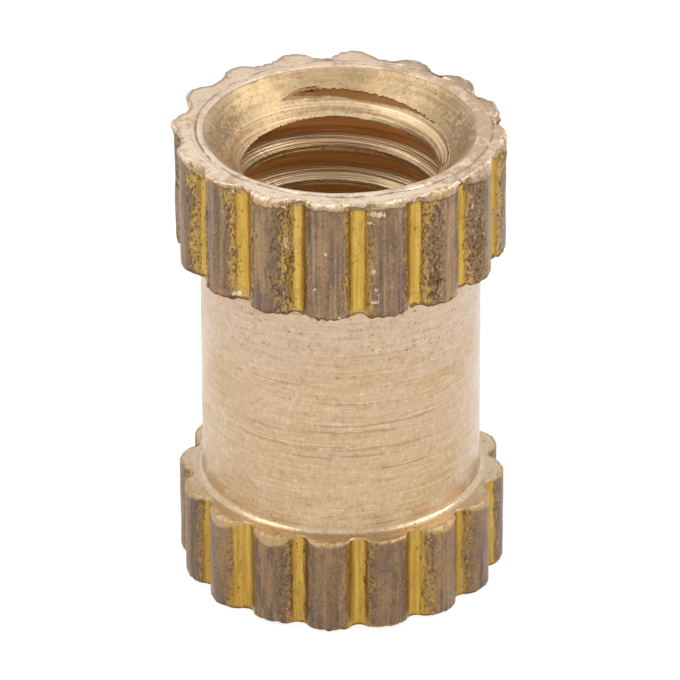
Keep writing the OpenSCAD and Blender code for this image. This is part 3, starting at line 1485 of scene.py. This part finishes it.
@dataclass(frozen=True)
class BoreFinish:
    """Countersinks and thread: golden brass with tool lines, darker towards the roots."""

    gold: Colour = paint(192, 162, 122)
    straw: Colour = paint(172, 147, 110)
    cream: Colour = paint(226, 199, 158)
    land: Colour = paint(206, 181, 146)
    amber: Colour = paint(188, 150, 106)
    tail_shade: Colour = paint(140, 107, 66)
    copper: Colour = paint(244, 196, 136)
    brown: Colour = paint(134, 88, 42)
    umber: Colour = paint(108, 74, 38)
    dark: Colour = paint(118, 86, 58)
    film: float = 0.35
    back_crest_h: float = 9.2933
    # painted shade: patches on the countersink's left and right sides
    shade_patch: tuple[Knock, ...] = knocks((-100, 9.66, 1.3, 0.2), (84, 9.72, 1.2, 0.16))
    nicks: tuple[Knock, ...] = knocks(
        (86, 9.37, 0.1, 0.03), (78, 9.26, 0.07, 0.045), (118, 9.47, 0.1, 0.014),
        (-172, 9.69, 0.12, 0.014),
    )

    def make(self) -> bpy.types.Material:
        """Builds the material.

        Lines on the thread follow the height less pitch times the turn. The first mark says
        whether a point belongs to the thread or to a countersink. In the upper countersink, the
        slot is what stays open of the top groove, coloured brown as painted shade, and the tail is
        painted shade where the slot fades out.

        Returns:
            The material.
        """
        s = material_sheet("bore_brass")
        p = s.place()
        cut, _, _ = s.cuts()
        groove = cut.ease(-0.004, 0.008)
        from_back = (-p.x).apply("ARCTAN2", p.y)
        climbed = p.z - from_back * (SIZE.pitch / math.tau)
        helix = climbed + p.r * 0.9
        lines = s.noise(s.join(p.x * 0.15, p.y * 0.15, helix), 1, 9, detail=3, rough=0.62)
        thin = s.noise(s.join(p.x * 0.2, p.y * 0.2, helix), 1, 24, 9)
        rings = s.noise(s.join(p.x * 0.4, p.y * 0.4, p.r), 1, 17, 4)
        cloud = s.noise(p.point, 1.2, 1.6, detail=3)
        blot = s.noise(p.point, 6, 8, 8, detail=3)
        grit = s.noise(p.point, 14, 16, 2)
        root = (p.r + blot * 0.1).ease(SIZE.crest_r + 0.22, SIZE.root_r - 0.06)
        slot = p.z.ease(9.24, 9.34) * (p.r + blot * 0.05).ease(2.27, 2.34)
        thread = s.layers(
            self.cream,
            (root, self.copper),
            (lines.ease(-0.04, 0.1) * (1 - root * 0.6) * 0.8, self.amber),
            (thin.ease(0.02, 0.16) * (1 - root * 0.6) * 0.75, self.dark),
            # painted shade: the open slot is brown to umber for the shade deep inside it
            (slot, s.blend(from_back.ease(-0.3, -0.65), self.brown, self.umber)),
        )
        land = (p.r + blot * 0.06).ease(2.34, 2.28)
        ridge = s.layers(
            self.land,
            (lines.ease(-0.06, 0.08) * 0.8, self.amber),
            (thin.ease(0.0, 0.14) * 0.6, self.dark),
            ((thin + blot * 0.5).ease(-0.06, -0.2) * 0.6, self.cream),
        )
        # painted shade on the countersink's left and right sides
        cone_side_shade = s.spots(p, self.shade_patch, SIZE.rim_r, grit * 3.5 + blot * 2.5)
        above = climbed - self.back_crest_h + blot * 0.03
        top = 0.37 - from_back.ease(0.2, 0.48) * 0.17
        # painted shade: the tail carries the slot's shaded look on over the countersink, past where the
        # groove runs out
        tail = above.ease(0.2, 0.22) * (top - above).ease(-0.01, 0.012) * from_back.ease(0.0, 0.08)
        mouth = s.layers(
            self.gold,
            ((cloud + rings * 0.4 + blot * 0.3).ease(-0.12, 0.14), self.straw),
            (land * 0.9, ridge),
            (rings.ease(0.04, 0.22) * 0.35, self.dark),
            ((grit + blot * 0.5).ease(0.08, 0.22) * 0.5, self.dark),
            ((grit + blot * 0.5).ease(-0.08, -0.22) * 0.35, self.cream),
            (cone_side_shade * 0.4, self.dark),
            (tail * 0.85, self.tail_shade),
        )
        nicked = s.spots(p, self.nicks, SIZE.rim_r - 0.6, grit * 2.0 + blot)
        colour = s.layers(mouth, (groove, thread), (nicked * 0.85, self.umber))
        line = rings * 0.008 * (1 - groove) + lines * 0.022 * (groove + land * 0.7)
        line = line + thin * 0.008 * (groove + land)
        height = line + (grit * 0.005 + blot * 0.012) * (1 - groove) + cloud * 0.012
        height = height - nicked * 0.02 - tail * 0.01 * (1 - groove)
        return s.finish(colour, 0.44 - 0.04 * groove + 0.14 * cloud, height, self.film)


# --------------------------------------------------------------------------- the insert


def wall_rows(count: int, span: float, top: Sequence[float], low: Sequence[float]) -> tuple[float, ...]:
    """Shares of a wall's height for its rows: close together near the edges, even between.

    Args:
        count: the number of even rows.
        span: the height of the wall in millimetres.
        top: distances of the close rows below the top edge.
        low: distances of the close rows above the lower edge, the last of them 0.
    Returns:
        The shares, from 0 at the top to 1 at the lower edge.
    """
    middle = np.linspace(top[-1], span - low[0], count + 2)[1:-1]
    return tuple(np.concatenate([top, middle, span - np.asarray(low)]) / span)


@dataclass
class Insert:
    """The whole insert: one closed piece of brass."""

    outline: KnurlOutline = field(default_factory=KnurlOutline)
    per_tooth: int = 36
    leans: tuple[float, ...] = (
        0.2, -0.6, -0.5, 0.3, 0.6, -0.4, 0.2, -0.7, 0.5, 0.1, -0.3, 0.6, 0.0, 0.8, 1.4, 0.7,
    )

    def upper_band(self) -> KnurledBand:
        """Makes the upper band, from the tooth and the groove right of the front on.

        Returns:
            The band.
        """
        top_rows = (0.0, 0.012, 0.03, 0.055, 0.09, 0.13, 0.18, 0.24, 0.31)
        low_rows = (0.16, 0.1, 0.06, 0.03, 0.012, 0.0)
        teeth = (
            Tooth(0.0, 0.06, lip=0.14), Tooth(0.01, 0.06, lip=0.21), Tooth(-0.01, 0.06, lip=0.33),
            Tooth(0.01, 0.05, flare=0.02, lip=0.3), Tooth(0.0, 0.05, lip=0.12),
            Tooth(0.01, 0.05, flare=0.04, rise=0.035, lip=0.1),
            Tooth(0.0, 0.05, flare=0.07, rise=0.035, lip=0.12),
            Tooth(0.0, 0.03, flare=0.13, rise=0.035, lip=0.16),
            Tooth(0.01, 0.03, flare=0.12, rise=0.04, lip=0.14),
            Tooth(0.0, 0.03, flare=0.14, rise=0.035, lip=0.16),
            Tooth(0.01, 0.03, flare=0.14, rise=0.04, lip=0.14),
            Tooth(0.01, 0.04, flare=0.07, rise=0.03, lip=0.12),
            Tooth(0.01, 0.05, flare=0.03, lip=0.12), Tooth(0.0, 0.05, flare=0.02, lip=0.08),
            Tooth(0.01, 0.08, lip=0.2), Tooth(0.0, 0.07, lip=0.12),
        )
        cuts = (
            Cut((0.19, 0.26), (0.33, 0.38), 3.36, 0.24), Cut((0.17, 0.18), (0.3, 0.62), 3.38, 0.26),
            Cut((0.26, 0.15), (0.36, 0.66), 3.34, 0.26), Cut((0.15, 0.26), (0.35, 0.5), 3.3, 0.3),
            Cut((0.16, 0.13), (0.4, 0.44), 3.2, 0.24), Cut((0.2, 0.14), (0.36, 0.5), 3.12, 0.14),
            Cut((0.13, 0.18), (0.5, 0.4), 3.16, 0.16), Cut((0.15, 0.24), (0.4, 0.34), 3.24, 0.16),
            Cut((0.22, 0.14), (0.46, 0.5), 3.2, 0.16), Cut((0.16, 0.16), (0.36, 0.42), 3.31, 0.18),
            Cut((0.13, 0.2), (0.5, 0.36), 3.31, 0.18), Cut((0.24, 0.15), (0.4, 0.4), 3.24, 0.16),
            Cut((0.2, 0.2), (0.5, 0.35), 3.3, 0.12), Cut((0.17, 0.25), (0.5, 0.5), 3.2, 0.4),
            Cut((0.22, 0.24), (0.42, 0.42), 3.21, 0.14),
            Cut((0.12, 0.15), (0.52, 0.25), 3.23, 0.16),
        )
        dents = knocks(
            (6.5, 9.62, 0.15, 0.2, 0.05), (-25.2, 9.02, 0.1, 0.18, 0.035),
            (-47.5, 7.52, 0.12, 0.1, 0.03), (77.0, 9.6, 0.12, 0.16, -0.03),
            (151.0, 8.6, 0.1, 0.14, 0.03), (-135.0, 8.1, 0.1, 0.16, 0.03),
        )
        top, bottom = SIZE.length - SIZE.edge_drop, SIZE.shoulder
        rows = wall_rows(25, top - bottom, top_rows, low_rows)
        return KnurledBand(top, bottom, rows, teeth, cuts, 100, True, knocks=dents)

    def lower_band(self) -> KnurledBand:
        """Makes the lower band, whose top edge is worn at the front and whose foot is bevelled.

        Returns:
            The band.
        """
        top_rows = (0.0, 0.012, 0.03, 0.055, 0.09, 0.13, 0.18)
        low_rows = (0.2, 0.12, 0.07, 0.03, 0.012, 0.0)
        teeth = (
            Tooth(0.0, 0.09, 0.13, lip=0.06), Tooth(0.0, 0.1, 0.06, lip=0.14),
            Tooth(0.0, 0.08, 0.05, lip=0.16), Tooth(0.01, 0.04, 0.05, lip=0.08),
            Tooth(0.0, 0.03, 0.05, lip=0.05), Tooth(0.01, 0.03, 0.06, lip=0.06),
            Tooth(0.0, 0.04, 0.05, lip=0.04), Tooth(-0.01, 0.03, 0.06, lip=0.06),
            Tooth(0.01, 0.04, 0.05, lip=0.05), Tooth(0.0, 0.03, 0.06, lip=0.06),
            Tooth(0.01, 0.03, 0.05, lip=0.04), Tooth(0.0, 0.04, 0.05, lip=0.06),
            Tooth(-0.01, 0.08, 0.04, lip=0.14), Tooth(0.0, 0.12, 0.02, lip=0.2),
            Tooth(-0.03, 0.15, 0.12, lip=0.24), Tooth(0.0, 0.13, 0.08, lip=0.09),
        )
        sides = (
            ((0.29, 0.22), (0.36, 0.36)), ((0.21, 0.28), (0.32, 0.52)), ((0.23, 0.15), (0.34, 0.3)),
            ((0.19, 0.3), (0.3, 0.4)), ((0.16, 0.13), (0.34, 0.3)), ((0.2, 0.14), (0.3, 0.4)),
            ((0.13, 0.18), (0.4, 0.3)), ((0.15, 0.22), (0.3, 0.34)), ((0.2, 0.14), (0.36, 0.4)),
            ((0.16, 0.16), (0.3, 0.32)), ((0.13, 0.2), (0.4, 0.3)), ((0.22, 0.15), (0.34, 0.3)),
            ((0.18, 0.16), (0.3, 0.3)), ((0.19, 0.2), (0.3, 0.3)), ((0.37, 0.2), (0.46, 0.3)),
            ((0.19, 0.14), (0.48, 0.24)),
        )
        cuts = tuple(Cut(bright, torn, lip=0.03) for bright, torn in sides)
        top = SIZE.shelf
        rows = wall_rows(18, top, top_rows, low_rows)
        return KnurledBand(top, 0.0, rows, teeth, cuts, 200, False, tear=0.01, low_burr=0.0)

    def build(self) -> bpy.types.Object:
        """Joins all strips along one closed path.

        It runs up the upper countersink, out over the upper end, down the outside, in over the
        lower end, and through the bore back to its start.

        Returns:
            The piece, linked to the scene.
        """
        columns = Columns(self.outline, self.per_tooth, self.leans)
        upper, lower = self.upper_band().wall(columns), self.lower_band().wall(columns)
        neck, bore = Neck(), Bore()
        top, base = EndFace(SIZE.length, 1), EndFace(0.0, -1)
        skin = Skin()
        above, _ = skin.add(bore.cone(columns, True))
        skin.add(top.inner(columns))
        skin.add(top.outer(columns, upper.radius[0], upper.height[0]))
        skin.add(upper)
        skin.add(neck.under(columns, upper.radius[-1], upper.height[-1]))
        skin.add(neck.shaft(columns))
        skin.add(neck.shelf(columns, lower.radius[0], lower.height[0]))
        skin.add(lower)
        skin.add(base.outer(columns, lower.radius[-1], lower.height[-1]).flipped())
        skin.add(base.inner(columns).flipped())
        _, below = skin.add(bore.cone(columns, False))
        skin.wind(below, above, bore.thread(columns))
        return skin.build("insert_body")

    def dress(self, body: bpy.types.Object) -> None:
        """Gives the body its finishes, in the order of the zones."""
        for finish in (TurnedFinish(), KnurlFinish(), EndFinish(), BoreFinish()):
            body.data.materials.append(finish.make())


# --------------------------------------------------------------------------- the studio


@dataclass
class Studio:
    """A pale floor, soft lamps on both sides and the camera. Its lengths are in metres."""

    aim: tuple[float, float, float] = (-0.0000155, 0.0, 0.005044)
    azimuth: float = -6.0
    elevation: float = 28.982
    roll: float = -0.193
    distance: float = 0.145
    lens: float = 369.26
    lamp_far: float = 0.4
    floor_half: float = 1.5
    floor_drop: float = 0.00001

    def floor(self) -> bpy.types.Object:
        """Makes the floor: a wide sheet that shows white to the eye and keeps a soft shadow.

        Returns:
            The floor, linked to the scene.
        """
        mesh = bpy.data.meshes.new("floor")
        half, z = self.floor_half, -self.floor_drop
        corners = [(-half, -half, z), (half, -half, z), (half, half, z), (-half, half, z)]
        mesh.from_pydata(corners, [], [(0, 1, 2, 3)])
        s = material_sheet("floor_paper")
        paper = s.node("BsdfDiffuse", {"Color": (0.8, 0.8, 0.8, 1)})
        faint = s.node("BsdfDiffuse", {"Color": (0.3, 0.3, 0.3, 1)})
        glow = s.node("Emission", {"Strength": 0.82})
        both = s.node("AddShader", {0: faint.outputs[0], 1: glow.outputs[0]})
        mix = s.node("MixShader", {0: s.seen(), 1: paper.outputs[0], 2: both.outputs[0]})
        s.node("OutputMaterial", {"Surface": mix.outputs[0]})
        mesh.materials.append(s.owner)
        floor = bpy.data.objects.new("floor", mesh)
        bpy.context.scene.collection.objects.link(floor)
        return floor

    def world(self) -> None:
        """Lights the scene from all round, and shows white behind it."""
        s = Sheet(bpy.data.worlds.new("studio"))
        dim = s.node("Background", {"Color": (0.75, 0.75, 0.75, 1)})
        white = s.node("Background", {"Color": (1, 1, 1, 1)})
        mix = s.node("MixShader", {0: s.seen(), 1: dim.outputs[0], 2: white.outputs[0]})
        s.node("OutputWorld", {"Surface": mix.outputs[0]})
        bpy.context.scene.world = s.owner

    def lamp(self, name: str, azimuth: float, elevation: float, size: float, power: float) -> None:
        """Hangs a soft square lamp that faces the object.

        Args:
            name: its name.
            azimuth: degrees from the front, towards the right.
            elevation: degrees above the floor.
            size: length of its sides.
            power: its power in watts.
        """
        data = bpy.data.lights.new(name, "AREA")
        data.shape = "SQUARE"
        data.size = size
        data.energy = power
        lamp = bpy.data.objects.new(name, data)
        self._stand(lamp, azimuth, elevation, self.lamp_far)

    def _stand(
        self, thing: bpy.types.Object, azimuth: float, elevation: float, far: float, roll: float = 0.0
    ) -> None:
        """Puts a lamp or camera at a distance from the aim, looking at it.

        Args:
            thing: the lamp or camera.
            azimuth: degrees from the front, towards the right.
            elevation: degrees above the floor.
            far: its distance in metres.
            roll: degrees it is turned about its line of sight.
        """
        turn, rise = math.radians(azimuth), math.radians(elevation)
        away = Vector(
            (math.sin(turn) * math.cos(rise), -math.cos(turn) * math.cos(rise), math.sin(rise))
        )
        look = (-away).to_track_quat("-Z", "Y").to_matrix().to_4x4()
        tilt = Matrix.Rotation(math.radians(roll), 4, "Z")
        thing.matrix_world = Matrix.Translation(Vector(self.aim) + away * far) @ look @ tilt
        bpy.context.scene.collection.objects.link(thing)

    def camera(self) -> None:
        """Sets up the camera: a long lens, a little left of the front and looking down."""
        data = bpy.data.cameras.new("camera")
        data.sensor_width = 36.0
        data.lens = self.lens
        data.clip_start = 0.001
        data.clip_end = 10.0
        camera = bpy.data.objects.new("camera", data)
        self._stand(camera, self.azimuth, self.elevation, self.distance, self.roll)
        bpy.context.scene.camera = camera

    def build(self) -> None:
        """Sets up the floor, the light, the camera and a plain view of the colours."""
        bpy.context.scene.view_settings.view_transform = "Standard"
        self.floor()
        self.world()
        self.lamp("right", 84.0, 42.0, 0.22, 0.34)
        self.lamp("left", -81.0, 47.0, 0.22, 0.26)
        self.lamp("high_right", 108.0, 66.0, 0.14, 0.1)
        self.lamp("high_left", -120.0, 66.0, 0.14, 0.1)
        self.camera()


def main() -> None:
    """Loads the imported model, builds the insert and the studio, and notes both sizes."""
    logging.basicConfig(level=logging.INFO, format="%(name)s: %(message)s")
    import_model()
    insert = Insert()
    body = insert.build()
    insert.dress(body)
    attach(body, "root")
    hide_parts("insert")
    triangles = sum(len(f.vertices) - 2 for f in body.data.polygons)
    LOG.info("%s: %d points, %d triangles", body.name, len(body.data.vertices), triangles)
    Studio().build()


if __name__ == "__main__":
    main()
